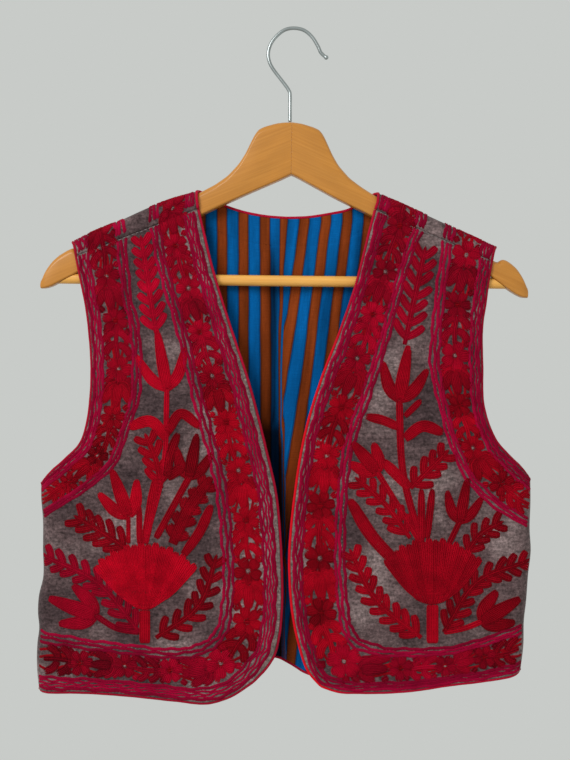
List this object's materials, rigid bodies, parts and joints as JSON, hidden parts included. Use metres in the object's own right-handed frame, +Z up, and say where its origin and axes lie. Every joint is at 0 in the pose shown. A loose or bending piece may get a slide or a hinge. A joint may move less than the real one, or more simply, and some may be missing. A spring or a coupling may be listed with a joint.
{
  "type": "embroidered folk vest on a wooden hanger",
  "caption": "Short open-fronted velvet folk vest with heavy floral chain-stitch embroidery and corded edges, hanging on a wooden clothes hanger.",
  "frame": {"origin": "top of the inside of the hanger's hook, where a nail or rail carries it", "axes": "+Z up, +X towards the vest's left sleeve side as seen from the front (the viewer's right), -Y out of the fronts towards the viewer"},
  "size_m": [0.4542, 0.0406, 0.6206],
  "materials": {
    "velvet": "soft taupe-grey cotton velvet with a short nap, matt with a pale sheen at grazing angles",
    "lining": "plain-weave cotton with even blue and rust stripes, matt",
    "thread": "thick scarlet and crimson chain-stitch thread, satin to matt",
    "piping": "crimson woven cord over a filler, matt",
    "arm_wood": "honey beech, clear satin varnish",
    "bar_wood": "pale turned beech, clear satin varnish",
    "hook_wire": "bright zinc-plated steel wire"
  },
  "bodies": {
    "root": {"front_left": "velvet", "front_right": "velvet", "back": "velvet", "lining_back": "lining", "embroidery_left": "thread", "embroidery_right": "thread", "embroidery_back": "thread", "piping_front_left": "piping", "piping_front_right": "piping", "piping_neck": "piping", "piping_hem_back": "piping", "piping_armhole_left": "piping", "piping_armhole_right": "piping", "hanger_arm_left": "arm_wood", "hanger_arm_right": "arm_wood", "hanger_bar": "bar_wood", "hanger_hook": "hook_wire"}
  },
  "joints": []
}
